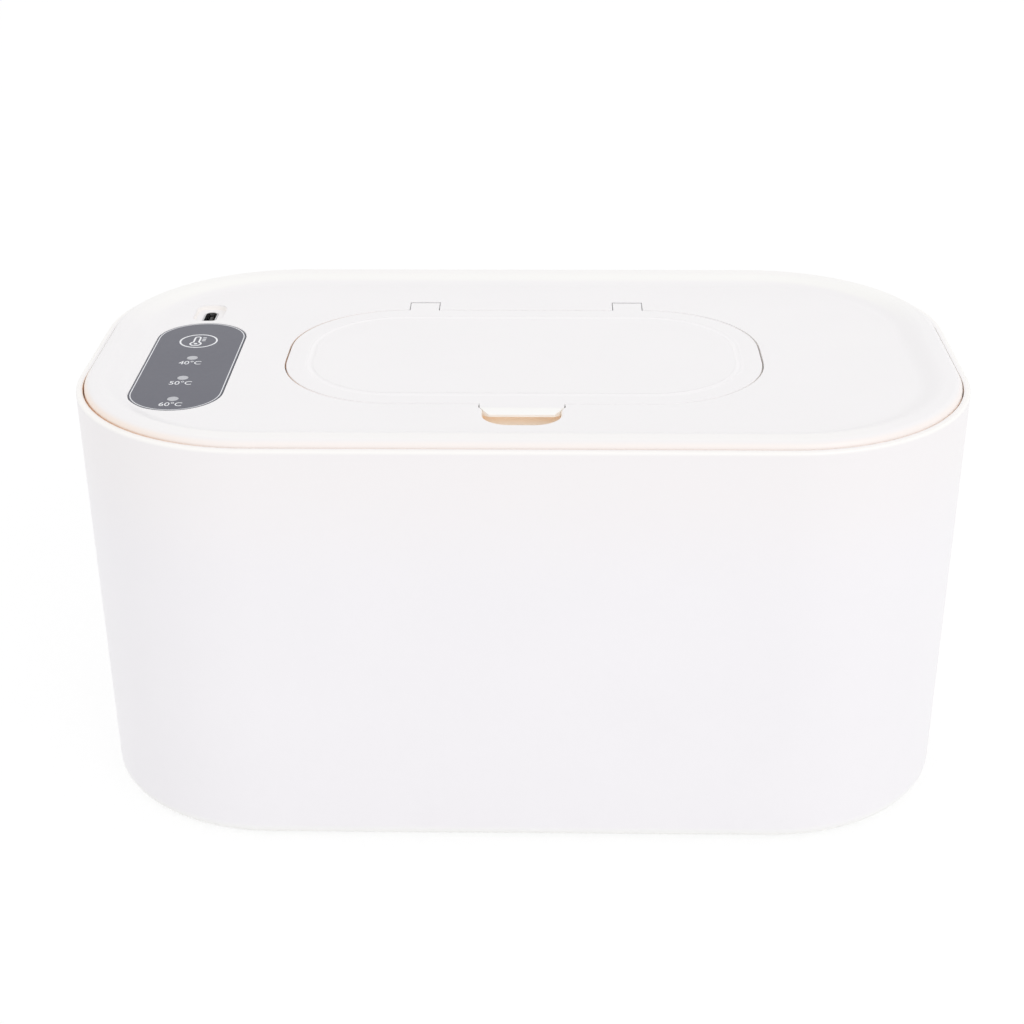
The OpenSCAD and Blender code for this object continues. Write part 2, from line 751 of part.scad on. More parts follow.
module dispensing_insert() {
    flange_w = collar_w - 2 * collar_t - 4 * fit;
    flange_d = collar_d - 2 * collar_t - 4 * fit;
    neck_w = mouth_w - 2 * fit;
    neck_d = mouth_d - 2 * fit;
    catch = 1.6;
    slit_w = 0.8;
    slit_l = 5;
    color(soft_white)
        translate([flip_x, 0, 0])
            difference() {
                union() {
                    ring_sweep(flange_w, flange_d, flange_d / 2 - fit, concat(
                        [[flange_d / 2 - fit, well_z], [0, well_z]],
                        [[0, well_z + insert_t - 0.4], [0.4, well_z + insert_t]],
                        [[flange_d / 2 - fit, well_z + insert_t]]
                    ));
                    core(flange_w, flange_d, flange_d / 2 - fit, well_z, well_z + insert_t);
                    plate(neck_w, neck_d, neck_d / 2 - fit, well_under_z - 1.4, well_z);
                    plate(
                        neck_w + 2 * catch, neck_d + 2 * catch, neck_d / 2 + catch - fit,
                        well_under_z - 1.4, well_under_z - fit / 2
                    );
                }
                plate(
                    neck_w - 3, neck_d - 3, neck_d / 2 - 1.5 - fit,
                    well_under_z - 1.4 - past, well_z + insert_t - 1
                );
                plate(slot_w, slot_d, slot_d / 2 - 0.05, well_z - past, well_z + insert_t + past);
                for (x = [-slot_w / 4, 0, slot_w / 4])
                    translate([x - slit_w / 2, -slot_d / 2 - slit_l, well_z - past])
                        cube([slit_w, slot_d + 2 * slit_l, insert_t + 2 * past]);
            }
}

module flip_lid() {
    lid_w = flip_w - flip_gap;
    lid_d = flip_d - flip_gap;
    lid_r = flip_r - flip_gap / 2;
    under = top_z - flip_t;
    edge = 0.3;
    line_mid = line_in + line_w / 2;
    line_r = (line_w * line_w / 4 + line_depth * line_depth) / (2 * line_depth);
    line_a = asin(line_w / 2 / line_r);
    under_a = -180 - asin((under - hinge_z) / knuckle_r);
    outline = concat(
        [[flip_bevel, under], [0, under + flip_bevel]],
        arc([edge, top_z - edge], edge, 180, 90, 4),
        arc([line_mid, top_z + line_r - line_depth], line_r, 270 - line_a, 270 + line_a, 6),
        [[lid_r, top_z], [lid_r, under]]
    );
    arm = concat(
        [[flip_back_y - flip_bevel - 1, under], [flip_back_y - flip_bevel - 1, top_z]],
        arc([hinge_y + knuckle_tail - tail_round, top_z - tail_round], tail_round, 90, 0, 4),
        arc([hinge_y, hinge_z], knuckle_r, acos(knuckle_tail / knuckle_r), under_a, 4 * steps)
    );
    seal_w = collar_w + 1.2;
    seal_d = collar_d + 1.2;
    color(white)
        difference() {
            union() {
                translate([flip_x, flip_y, 0]) {
                    ring_sweep(lid_w, lid_d, lid_r, outline);
                    core(lid_w, lid_d, lid_r, under, top_z);
                    wall_ring(
                        flip_w - 2 * rib_in, flip_d - 2 * rib_in, flip_r - rib_in,
                        rib_t, under - rib_h, under + fit
                    );
                }
                translate([flip_x, 0, 0]) {
                    wall_ring(seal_w + 2.8, seal_d + 2.8, seal_d / 2 + 1.3, 1.2, under - 1.1, under + fit);
                    wall_ring(seal_w - 5.6, seal_d - 5.6, seal_d / 2 - 2.9, 1.2, under - 1.1, under + fit);
                }
                tab();
                for (x = knuckle_xs)
                    run_x(x, knuckle_w, arm);
            }
            for (x = knuckle_xs)
                translate([x - knuckle_w / 2 - past, hinge_y, hinge_z])
                    rotate([0, 90, 0])
                        cylinder(r = pin_r + pin_play, h = knuckle_w + 2 * past);
        }
}

module flip_seal() {
    z0 = collar_z + 0.15;
    z1 = top_z - flip_t;
    seal_w = collar_w + 1.2;
    seal_d = collar_d + 1.2;
    color(grey_rubber)
        translate([flip_x, 0, 0])
            ring_sweep(seal_w, seal_d, seal_d / 2 - fit, [
                [0, z1], [0, z0 + 0.4], [0.4, z0], [2.2, z0], [2.6, z0 + 0.4], [2.6, z1]
            ]);
}

module hinge_pin(x) {
    color(metal)
        translate([x - pin_l / 2, hinge_y, hinge_z])
            rotate([0, 90, 0])
                cylinder(r = pin_r, h = pin_l);
}

module hinge_pin_left() {
    hinge_pin(knuckle_xs[0]);
}

module hinge_pin_right() {
    hinge_pin(knuckle_xs[1]);
}

module panel_film() {
    color([0.42, 0.42, 0.45])
        difference() {
            translate([panel_x, panel_y, 0])
                bar(panel_w - 2 * fit, panel_l - 2 * fit, film_z - film_t, film_z);
            for (y = light_ys)
                translate([panel_x, y, film_z - film_t - past])
                    cylinder(d = guide_d + 0.1, h = film_t + 2 * past);
        }
}

module light_guides() {
    foot_h = 1;
    z0 = board_z + led_h + 0.3;
    color([0.85, 0.87, 0.9])
        for (y = light_ys)
            translate([panel_x, y, z0]) {
                cylinder(d = guide_d + 2, h = foot_h);
                translate([0, 0, foot_h])
                    cylinder(d = guide_d, h = film_z - z0 - foot_h);
            }
}

module indicator_leds() {
    color([0.96, 0.94, 0.8])
        for (y = light_ys)
            translate([panel_x, y, board_z]) {
                translate([-led_w / 2, -led_l / 2, 0])
                    cube([led_w, led_l, led_h - led_dome]);
                translate([0, 0, led_h - led_dome])
                    cylinder(d1 = led_l - 0.2, d2 = led_l - 0.6, h = led_dome);
            }
}

// Ring of points round a coil's wire at turn angle a
function coil_ring(a, coil_r, wire_r, z, sides) = [
    for (k = [0:sides - 1]) let (b = 360 * k / sides)
        [(coil_r + wire_r * cos(b)) * cos(a), (coil_r + wire_r * cos(b)) * sin(a), z + wire_r * sin(b)]
];

module touch_spring() {
    wire_r = 0.35;
    coil_r = 3.4;
    turns = 5;
    sides = 6;
    per_turn = 24;
    rings = turns * per_turn;
    rise = skin_z - board_z - 2 * wire_r;
    points = [
        for (i = [0:rings], p = coil_ring(360 * i / per_turn, coil_r, wire_r, wire_r + rise * i / rings, sides)) p
    ];
    walls = [
        for (i = [0:rings - 1], k = [0:sides - 1]) let (
            a = i * sides + k,
            b = i * sides + (k + 1) % sides
        ) each [[a, a + sides, b], [b, a + sides, b + sides]]
    ];
    first = [for (k = [1:sides - 2]) [0, k, k + 1]];
    end = rings * sides;
    last = [for (k = [1:sides - 2]) [end, end + k + 1, end + k]];
    color(metal)
        translate([panel_x, panel_y + key_y, board_z])
            polyhedron(points, concat(walls, first, last));
}

module control_board() {
    color([0.1, 0.36, 0.22])
        difference() {
            translate([panel_x, board_y, 0])
                plate(pcb_w, board_l, pcb_r, board_under_z, board_z);
            for (sx = [-1, 1], y = board_screw_ys)
                translate([panel_x + sx * board_screw_x, y, board_under_z - past])
                    cylinder(r = small_screw_r + 0.2, h = pcb_t + 2 * past);
        }
}

module board_screws() {
    color(metal)
        for (sx = [-1, 1], y = board_screw_ys)
            screw(
                [panel_x + sx * board_screw_x, y], board_under_z,
                small_screw_r, pcb_t + board_grip, small_head_r, small_head_h
            );
}

// Chip body on the board with a row of legs down each long side
module chip(x, y, w, l, h, legs, pitch) {
    leg_w = 0.45;
    reach = 1;
    held = 0.1;
    translate([x - w / 2, y - l / 2, board_z + 0.15])
        cube([w, l, h]);
    for (sx = [-1, 1], i = [0:legs - 1])
        translate([x + sx * (w + reach - held) / 2, y + (i - (legs - 1) / 2) * pitch, board_z + 0.35])
            cube([reach + held, leg_w, 0.7], center = true);
}

module controller_chip() {
    color(dark)
        chip(panel_x - 5.2, light_ys[0] - light_pitch / 2, 3.9, 9.9, 1.5, 7, 1.27);
}

module power_transistor() {
    color(dark)
        chip(transistor_x, transistor_y, 3.9, 4.9, 1.5, 4, 1.27);
}

module board_capacitors() {
    color([0.72, 0.6, 0.42])
        for (y = [0, 3, 6, 9])
            translate([panel_x + 5.2, panel_y - 6 + y, board_z + 0.45])
                cube([2, 1.25, 0.9], center = true);
}

module socket_shell() {
    color(metal)
        translate([pocket_x, socket_y, 0])
            ring_sweep(socket_w, socket_l, socket_w / 2 - 0.02, [
                [0, board_z], [socket_t, board_z], [socket_t, pocket_z], [0, pocket_z]
            ]);
}

module socket_core() {
    base_h = 2.6;
    tongue_w = 0.7;
    inner_w = socket_w - 2 * socket_t - fit;
    inner_l = socket_l - 2 * socket_t - fit;
    color(dark)
        translate([pocket_x, socket_y, 0]) {
            bar(inner_w, inner_l, board_z, board_z + base_h);
            translate([-tongue_w / 2, -inner_l / 2 + 0.8, board_z + base_h - fit])
                cube([tongue_w, inner_l - 1.6, pocket_z - 0.8 - board_z - base_h + fit]);
        }
}

module socket_contacts() {
    strip_l = 3;
    strip_t = 0.08;
    color([0.85, 0.68, 0.3])
        for (sx = [-1, 1], i = [-3:3])
            translate([pocket_x + sx * (0.35 + strip_t / 2), socket_y + i * 0.8, pocket_z - 1.2 - strip_l / 2])
                cube([strip_t, 0.3, strip_l], center = true);
}

// Ring that fills the heater's recess between two heights
module heater_layer(z0, z1) {
    difference() {
        plate(
            heater_w - 2 * heater_gap, heater_d - 2 * heater_gap, heater_r - heater_gap,
            z0, z1
        );
        translate([flip_x, 0, 0])
            plate(plate_hole_w, plate_hole_d, plate_hole_d / 2 - fit, z0 - past, z1 + past);
        for (p = plate_screw_spots)
            translate([p[0], p[1], z0 - past])
                cylinder(r = small_screw_r + 0.15, h = z1 - z0 + 2 * past);
    }
}

module insulation_pad() {
    color([0.88, 0.86, 0.8])
        difference() {
            heater_layer(pad_z, ceiling_z);
            translate([lead_end_x, heater_lead_ys[0], pad_z - past])
                cylinder(r = lead_r + 0.4, h = pad_t + 2 * past);
            translate([fuse_x - fuse_r - 0.3, heater_lead_ys[1] - 1, pad_z - past])
                cube([2 * fuse_r + 0.6, fuse_l + 5, pad_t + 2 * past]);
            translate([sensor_end_x - bead_r - 0.3, bead_y - bead_l / 2 - 0.9, pad_z - past])
                cube([2 * bead_r + 0.6, bead_l + 1.8, pad_t + 2 * past]);
        }
}

module heating_film() {
    color([0.85, 0.5, 0.2])
        heater_layer(foil_z, pad_z);
}

module heating_plate() {
    color(metal)
        heater_layer(plate_z, foil_z);
}

module plate_screws() {
    color(metal)
        for (p = plate_screw_spots)
            screw(p, plate_z, small_screw_r, ceiling_z - plate_z + plate_grip, small_head_r, 0.8);
}

module thermistor() {
    color([0.15, 0.15, 0.16])
        translate([sensor_end_x, bead_y - bead_l / 2, pad_z + bead_r])
            rotate([-90, 0, 0])
                cylinder(r = bead_r, h = bead_l);
}

module thermal_fuse() {
    color([0.8, 0.78, 0.7])
        translate([fuse_x, fuse_y - fuse_l / 2, pad_z + fuse_r])
            rotate([-90, 0, 0]) {
                cylinder(r = fuse_r, h = fuse_l);
                translate([0, 0, fuse_l])
                    cylinder(r = 0.35, h = 2);
            }
}

module heater_leads() {
    color([0.8, 0.1, 0.1])
        bent_lead(lead_start_x, lead_end_x, heater_lead_ys[0], board_z, lead_top_z, pad_z, lead_r);
    color([0.8, 0.1, 0.1]) {
        bent_lead(lead_start_x, fuse_x, heater_lead_ys[1], board_z, lead_top_z, pad_z + fuse_r - lead_r, lead_r);
        translate([fuse_x, heater_lead_ys[1], pad_z + fuse_r])
            rotate([-90, 0, 0])
                cylinder(r = 0.35, h = 1.6);
    }
}

module sensor_leads() {
    color([0.1, 0.1, 0.1])
        for (y = sensor_lead_ys)
            bent_lead(lead_start_x, sensor_end_x, y, board_z, lead_top_z, pad_z + 2 * bead_r, sensor_lead_r);
}

body_shell();
rubber_feet();
lid_cover();
lid_base();
lid_gasket();
lid_screws();
dispensing_insert();
flip_lid();
flip_seal();
hinge_pin_left();
hinge_pin_right();
panel_film();
light_guides();
indicator_leds();
touch_spring();
control_board();
board_screws();
controller_chip();
power_transistor();
board_capacitors();
socket_shell();
socket_core();
socket_contacts();
insulation_pad();
heating_film();
heating_plate();
plate_screws();
thermistor();
thermal_fuse();
heater_leads();
sensor_leads();
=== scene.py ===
import json
import math

import bmesh
import bpy
import numpy as np
from mathutils import Matrix, Vector


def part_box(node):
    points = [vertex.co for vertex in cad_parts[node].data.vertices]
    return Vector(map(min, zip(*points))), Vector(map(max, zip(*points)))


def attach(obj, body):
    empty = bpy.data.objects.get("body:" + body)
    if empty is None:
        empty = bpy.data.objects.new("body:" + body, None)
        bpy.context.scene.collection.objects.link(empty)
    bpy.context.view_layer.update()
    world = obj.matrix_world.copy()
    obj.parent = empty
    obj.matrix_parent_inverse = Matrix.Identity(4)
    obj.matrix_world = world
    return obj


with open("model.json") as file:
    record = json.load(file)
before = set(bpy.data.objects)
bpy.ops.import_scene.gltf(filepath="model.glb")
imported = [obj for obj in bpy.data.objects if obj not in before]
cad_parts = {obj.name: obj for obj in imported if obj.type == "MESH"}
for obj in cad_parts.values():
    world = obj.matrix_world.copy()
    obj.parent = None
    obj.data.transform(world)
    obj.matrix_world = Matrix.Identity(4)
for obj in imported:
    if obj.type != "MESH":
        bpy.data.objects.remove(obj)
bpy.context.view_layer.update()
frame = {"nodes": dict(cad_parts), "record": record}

# Lengths below are in mm on the object, and are turned into metres where Blender needs them
MM = 0.001

# Camera: it stands in front of the box, a little to the right, and looks down on it
CAMERA_PLACE = (6.923, -425.261, 255.522)
CAMERA_TILT, CAMERA_ROLL, CAMERA_TURN = 64.79, 0.275, 1.172
CAMERA_LENS, CAMERA_SENSOR = 68.344, 36.0

# Light: an even surround and one broad soft lamp from the right, above and in front
AMBIENT = 0.917
LAMP_PLACE = (1300, -1780, 1370)
LAMP_SIZE = 1600
LAMP_WATTS = 8.3
# White walls pass light on many times, which keeps the narrow gaps pale
DIFFUSE_BOUNCES = 12

# Floor: half its width, how far it lies under the feet, and its colour. The camera sees it mostly as a
# white glow, of this strength and share
FLOOR_HALF = 3000
FLOOR_DROP = 0.05
FLOOR_COLOUR = (0.92, 0.92, 0.92, 1.0)
FLOOR_GLOW, FLOOR_GLOW_SHARE = 1.04, 0.8


# Sizes and places on the object

def box_mm(node):
    """Lowest and highest corner of a CAD node, in mm."""
    return [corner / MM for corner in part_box(node)]


def middle_x(node):
    low, high = box_mm(node)
    return (low.x + high.x) / 2


body_low, body_high = box_mm("body_shell")
cover_low, cover_high = box_mm("flip_lid")

# Levels: the lid's raised edge, its level floor, the box's rim, and the step in it that carries the lid
CREST_Z = box_mm("lid_cover")[1].z
FLOOR_Z = cover_high.z
RIM_Z = body_high.z
SEAT_Z = RIM_Z - 3.0

# Plan outlines as (middle x, middle y, width, depth, corner radius): the box's rim, the well that the
# cover lies in, the finger scoop, the pocket round the socket, and the recess of the heating film
BODY_RIM = (0.0, 0.0, body_high.x - body_low.x, body_high.y - body_low.y, 43.3)
COVER_X = middle_x("flip_lid")
WELL = (COVER_X, -1.4, 109.9, 61.7, 26.35)
SCOOP = (COVER_X, -33.5, 17.0, 20.4, 6.0)
POCKET = (middle_x("socket_shell"), 26.9, 7.2, 11.6, 2.8)
HEATER = (0.0, 0.0, 126.0, 88.0, 30.0)

# Hinge slots behind the cover: how far they stand from its middle, how wide they are, and where they
# start and end in Y
SLOT_X, SLOT_W, SLOT_Y, SLOT_END_Y = 25.0, 9.0, 29.4, 36.4
# Shallow line in the cover, measured in from its seam
LINE_IN = 5.4
# Finger tab: where its front bevel starts, where it leaves the cover, and half its width there
TAB_Y, TAB_ROOT_Y, TAB_SIDE = cover_low.y + 3.0, cover_low.y + 5.5, 9.35


# Colours

def srgb(red, green, blue):
    """A colour seen on screen, 0 to 255, as the linear colour that a shader takes."""
    def channel(value):
        share = value / 255
        return share / 12.92 if share <= 0.04045 else ((share + 0.055) / 1.055) ** 2.4
    return (channel(red), channel(green), channel(blue), 1.0)


WHITE = (1.0, 1.0, 1.0, 1.0)


# Shading where narrow flat faces stand for a curve

# Vertices closer than this lie at one place
SAME_SPOT = 0.0001


def read(items, field, width, kind=float):
    """One field of a mesh's items as an array, with a row for each item where the field is wide."""
    values = np.zeros(len(items) * width, kind)
    items.foreach_get(field, values)
    return values.reshape(-1, width) if width > 1 else values


def patches(faces, vertex_count):
    """Labels each vertex with the lowest vertex of the smooth patch that it belongs to."""
    label = np.arange(vertex_count)
    while True:
        lowest = label[faces].min(axis=1)
        grown = label.copy()
        np.minimum.at(grown, faces.ravel(), np.repeat(lowest, 3))
        grown = grown[grown]
        if (grown == label).all():
            return label
        label = grown


def smooth(obj, widest_turn=35):
    """Averages the normals of patches that meet at less than widest_turn degrees. A wide patch outweighs
    a narrow one, so flats stay flat, and the narrow strips between them shade as one curve."""
    mesh = obj.data
    points = read(mesh.vertices, "co", 3)
    corners = read(mesh.loops, "vertex_index", 1, np.int32)
    all_triangles = len(corners) == 3 * len(mesh.polygons)
    if not all_triangles:
        return
    faces = corners.reshape(-1, 3)
    normals = np.zeros_like(points)
    normals[corners] = read(mesh.corner_normals, "vector", 3)
    patch = patches(faces, len(points))
    area = np.bincount(patch[faces[:, 0]], read(mesh.polygons, "area", 1), len(points))
    weight = area[patch]
    grid = np.round(points / (SAME_SPOT * MM)).astype(np.int64)
    spot = np.unique(grid, axis=0, return_inverse=True)[1].ravel()
    order = np.argsort(spot, kind="stable")
    starts = np.flatnonzero(np.diff(spot[order], prepend=-1))
    least = math.cos(math.radians(widest_turn))
    made = normals.copy()
    for group in np.split(order, starts[1:]):
        if len(group) == 1:
            continue
        near = normals[group] @ normals[group].T > least
        total = (near * weight[group]) @ normals[group]
        length = np.linalg.norm(total, axis=1, keepdims=True)
        made[group] = total / np.where(length > 0, length, 1.0)
    mesh.normals_split_custom_set_from_vertices(made.tolist())


# Materials

class Graph:
    """Builds the nodes of one material or world. Each call makes a node and returns its output."""

    def __init__(self, owner):
        owner.use_nodes = True
        self.tree = owner.node_tree
        self.tree.nodes.clear()

    def node(self, kind, inputs=None, **settings):
        """A new node, with its settings, and its inputs set or linked by name or number."""
        made = self.tree.nodes.new("ShaderNode" + kind)
        for key, value in settings.items():
            setattr(made, key, value)
        for key, value in (inputs or {}).items():
            if isinstance(value, bpy.types.NodeSocket):
                self.tree.links.new(value, made.inputs[key])
            else:
                made.inputs[key].default_value = value
        return made

    def place(self):
        """Where the surface point is on the object, in mm."""
        spot = self.node("TexCoord").outputs["Object"]
        return self.node("VectorMath", {0: spot, "Scale": 1 / MM}, operation="SCALE").outputs[0]

    def axes(self, vector):
        return self.node("SeparateXYZ", {0: vector}).outputs

    def math(self, operation, *values):
        return self.node("Math", dict(enumerate(values)), operation=operation).outputs[0]

    def both(self, first, *others):
        """The product of all values: 1 only where each of them is 1."""
        for other in others:
            first = self.math("MULTIPLY", first, other)
        return first

    def ramp(self, value, start, end):
        """0 on start's side, 1 on end's side, and smooth between them."""
        inputs = {"Value": value, "From Min": start, "From Max": end}
        return self.node("MapRange", inputs, interpolation_type="SMOOTHSTEP").outputs[0]

    def mix(self, share, a, b):
        """Colour a where the share is 0, and colour b where it is 1."""
        return self.node("Mix", {0: share, 6: a, 7: b}, data_type="RGBA").outputs[2]

    def stretch(self, vector, x=1.0, y=1.0, z=1.0):
        return self.node("VectorMath", {0: vector, 1: (x, y, z)}, operation="MULTIPLY").outputs[0]

    def noise(self, vector, size, detail=2.0, rough=0.5):
        """Soft noise whose lumps are about size mm across."""
        inputs = {"Vector": vector, "Scale": 1 / size, "Detail": detail, "Roughness": rough}
        return self.node("TexNoise", inputs).outputs[0]

    def spread(self, value, low, high):
        """Takes a value from 0 to 1 to the range from low to high."""
        return self.node("MapRange", {"Value": value, "To Min": low, "To Max": high}).outputs[0]

    def cells(self, vector, size, feature="F1"):
        inputs = {"Vector": vector, "Scale": 1 / size}
        return self.node("TexVoronoi", inputs, feature=feature).outputs["Distance"]

    def bump(self, height, depth, under=None):
        """Raises the surface by height times depth, in mm."""
        inputs = {"Height": height, "Distance": depth * MM, "Strength": 1.0}
        if under is not None:
            inputs["Normal"] = under
        return self.node("Bump", inputs).outputs[0]

    def near(self, value, middle, reach, soft):
        """1 where a value is within reach of the middle, and fading to 0 over the soft distance."""
        away = self.math("ABSOLUTE", self.math("SUBTRACT", value, middle))
        return self.ramp(away, reach + soft, reach)

    def inset(self, place, outline):
        """How far a point lies inside a rounded outline, in mm."""
        x, y, _ = self.axes(place)
        mid_x, mid_y, width, depth, radius = outline
        over = []
        for value, middle, size in ((x, mid_x, width), (y, mid_y, depth)):
            away = self.math("ABSOLUTE", self.math("SUBTRACT", value, middle))
            over.append(self.math("SUBTRACT", away, size / 2 - radius))
        outside = [self.math("MAXIMUM", value, 0.0) for value in over]
        squares = self.math("MULTIPLY_ADD", outside[0], outside[0], self.math("POWER", outside[1], 2.0))
        inside = self.math("MINIMUM", self.math("MAXIMUM", *over), 0.0)
        reach = self.math("ADD", self.math("SQRT", squares), inside)
        return self.math("SUBTRACT", radius, reach)

    def seen(self):
        """1 for a ray from the camera, a reflection or a clear piece, and 0 for light on things."""
        path = self.node("LightPath").outputs
        rays = self.math("MAXIMUM", path["Is Camera Ray"], path["Is Glossy Ray"])
        return self.math("MAXIMUM", rays, path["Is Transmission Ray"])

    def surface(self, base, roughness, normal=None, **constants):
        """Ends the material in one shader. Constants are more of its inputs, with _ for each space."""
        inputs = {"Base Color": base, "Roughness": roughness}
        if normal is not None:
            inputs["Normal"] = normal
        inputs.update({key.replace("_", " "): value for key, value in constants.items()})
        shader = self.node("BsdfPrincipled", inputs)
        self.node("OutputMaterial", {"Surface": shader.outputs[0]})


BUILDERS = {}
MADE = {}


def material(builder):
    """Keeps a function that builds the nodes of the material of its own name."""
    BUILDERS[builder.__name__] = builder
    return builder


def finish(name):
    """The material of that name, which is made when it is first needed."""
    if name not in MADE:
        MADE[name] = bpy.data.materials.new(name)
        BUILDERS[name](Graph(MADE[name]))
    return MADE[name]


PLASTIC_IOR = 1.47
# White of the lid and of its cover, and the shade that clouds it
LID_TONES = (srgb(246, 244, 245), srgb(245, 243, 244))


def moulding(g, place, colour, shade):
    """Moulded plastic: faint clouding, the slow ripple of a moulded wall and a fine grain. It gives the
    colour, the roughness and the normal."""
    cloud = g.noise(place, 26.0, 3.0)
    tone = g.mix(g.ramp(cloud, 0.30, 0.72), shade, colour)
    streak = g.noise(g.stretch(place, 1.0, 1.0, 0.12), 2.2, 4.0)
    gloss = g.spread(streak, 0.27, 0.37)
    ripple = g.bump(g.noise(place, 14.0, 1.0), 0.010)
    normal = g.bump(g.noise(place, 0.35, 3.0, 0.6), 0.0008, ripple)
    return tone, gloss, normal


def warm_ends(g, x, start, end):
    """How warm the light in a seam is: 1 at the left end, much less at the right end, and 0 between."""
    left = g.ramp(x, -start, -end)
    right = g.both(g.ramp(x, start, end), 0.12)
    return g.math("MAXIMUM", left, right)


def rim_warmth(g, x):
    """How warm the light is in the seam between the lid and the box's rim."""
    return warm_ends(g, x, 55.0, 97.0)


def cover_seam_light(g, x):
    """Painted light on the walls of the seam round the dispensing cover: near white against their shade,
    with a painted warm glow towards the ends, strongest at the left.
    """
    return g.mix(warm_ends(g, x, 25.0, 54.0), srgb(255, 254, 252), srgb(250, 233, 217))


def at_front(g, y):
    """1 along the front of the box and its front corners, and 0 along its straight ends and behind."""
    return g.ramp(y, -8.0, -28.0)


def slits(g, x, y, z):
    """1 inside the narrow gaps of the hinge slots and beside the root of the finger tab."""
    from_middle = g.math("ABSOLUTE", g.math("SUBTRACT", x, COVER_X))
    behind = g.both(g.ramp(y, SLOT_Y, SLOT_Y + 0.1), g.ramp(y, SLOT_END_Y + 0.1, SLOT_END_Y))
    hinge = g.both(g.near(from_middle, SLOT_X, SLOT_W / 2, 0.1), behind)
    along = g.both(g.ramp(y, TAB_ROOT_Y, TAB_ROOT_Y - 0.1), g.ramp(y, TAB_Y - 0.9, TAB_Y - 0.6))
    beside = g.both(g.near(from_middle, TAB_SIDE, 0.25, 0.1), along)
    return g.both(g.math("MAXIMUM", hinge, beside), g.ramp(z, FLOOR_Z - 0.05, FLOOR_Z - 0.3))


@material
def body_plastic(g):
    place = g.place()
    x, y, z = g.axes(place)
    inset = g.inset(place, BODY_RIM)
    tone, gloss, normal = moulding(g, place, srgb(246, 244, 247), srgb(245, 243, 246))

    # Outside: painted warm shading on its upper half, a painted highlight on its rounded rim, and
    # painted light that lifts the shade at its bottom edge
    upper = g.both(g.ramp(z, 62.0, 92.0), g.ramp(inset, 1.2, 0.6))
    tone = g.mix(upper, tone, srgb(246, 243, 244))
    rim = g.both(g.ramp(z, RIM_Z - 0.9, RIM_Z - 0.2), g.ramp(inset, 1.2, 0.9))
    tone = g.mix(rim, tone, srgb(253, 251, 249))
    tone = g.mix(g.ramp(z, 4.0, 1.2), tone, srgb(252, 252, 249))

    # Inside: the wall that faces the lid across the seam, painted near white against its shade, with a
    # painted warm glow at the front, strongest at the left end
    over_seat = g.ramp(z, SEAT_Z - 0.4, SEAT_Z + 0.1)
    facing = g.both(g.ramp(inset, 1.2, 1.4), g.ramp(inset, 3.4, 3.0), over_seat)
    warm = g.both(rim_warmth(g, x), at_front(g, y))
    tone = g.mix(facing, tone, g.mix(warm, srgb(255, 252, 250), srgb(248, 226, 206)))
    g.surface(tone, gloss, normal, IOR=PLASTIC_IOR)


def paint_lid_edge_light(g, place, tone):
    """Painted light on the lid's raised edge, and on its side that faces the box's rim across the seam.
    """
    x, y, z = g.axes(place)
    inset = g.inset(place, BODY_RIM)
    # Painted light: the back slope and crest of the raised edge made lighter, as lit from the front
    raised = g.both(g.ramp(inset, 12.0, 8.0), g.ramp(z, FLOOR_Z + 0.2, FLOOR_Z + 1.1))
    tone = g.mix(g.both(raised, g.ramp(y, 10.0, 40.0)), tone, srgb(250, 249, 247))
    # Painted highlight along the crest at the front and the back
    crest_highlight = g.ramp(z, CREST_Z - 0.3, CREST_Z - 0.02)
    before_bends = g.ramp(g.math("ABSOLUTE", x), 88.0, 60.0)
    tone = g.mix(g.both(before_bends, crest_highlight), tone, srgb(249, 247, 246))

    # Painted warm glow on the outer shoulder below the crest at the front, and on the side in the seam,
    # which is painted white behind
    outer = g.both(g.ramp(inset, 4.6, 3.6), g.ramp(z, SEAT_Z + 0.3, SEAT_Z + 1.8))
    front = at_front(g, y)
    warm = rim_warmth(g, x)
    shoulder_glow = g.mix(warm, srgb(250, 243, 240), srgb(250, 236, 225))
    tone = g.mix(g.both(outer, front, g.ramp(z, CREST_Z - 0.05, CREST_Z - 1.0)), tone, shoulder_glow)
    side = g.mix(front, WHITE, g.mix(warm, srgb(252, 244, 240), srgb(245, 216, 190)))
    return g.mix(g.both(outer, g.ramp(z, RIM_Z + 0.4, RIM_Z - 0.2)), tone, side)


def paint_well_light(g, place, tone):
    """Painted light on the well's wall in the seam round the cover, and painted white in the narrow gaps
    at the hinge and the tab, against their shade.
    """
    x, y, z = g.axes(place)
    inset = g.inset(place, WELL)
    under = g.ramp(z, FLOOR_Z - 0.05, FLOOR_Z - 0.4)
    wall = g.both(g.ramp(inset, -0.25, -0.02), g.ramp(inset, 0.6, 0.2), under)
    tone = g.mix(wall, tone, cover_seam_light(g, x))
    return g.mix(slits(g, x, y, z), tone, WHITE)


def paint_scoop_light(g, place, tone):
    """Painted light in the finger scoop: pale at its mouth, then a painted warm glow, and paler again
    towards its floor, against the scoop's shade.
    """
    z = g.axes(place)[2]
    inside = g.both(g.ramp(g.inset(place, SCOOP), -0.8, -0.5), g.ramp(g.inset(place, WELL), 0.3, 0.1))
    tone = g.mix(g.both(inside, g.ramp(z, FLOOR_Z, FLOOR_Z - 0.4)), tone, srgb(254, 248, 241))
    scoop_glow = g.mix(g.ramp(z, 93.1, 91.6), srgb(254, 237, 219), srgb(255, 250, 243))
    return g.mix(g.both(inside, g.ramp(z, FLOOR_Z - 0.3, FLOOR_Z - 1.9)), tone, scoop_glow)


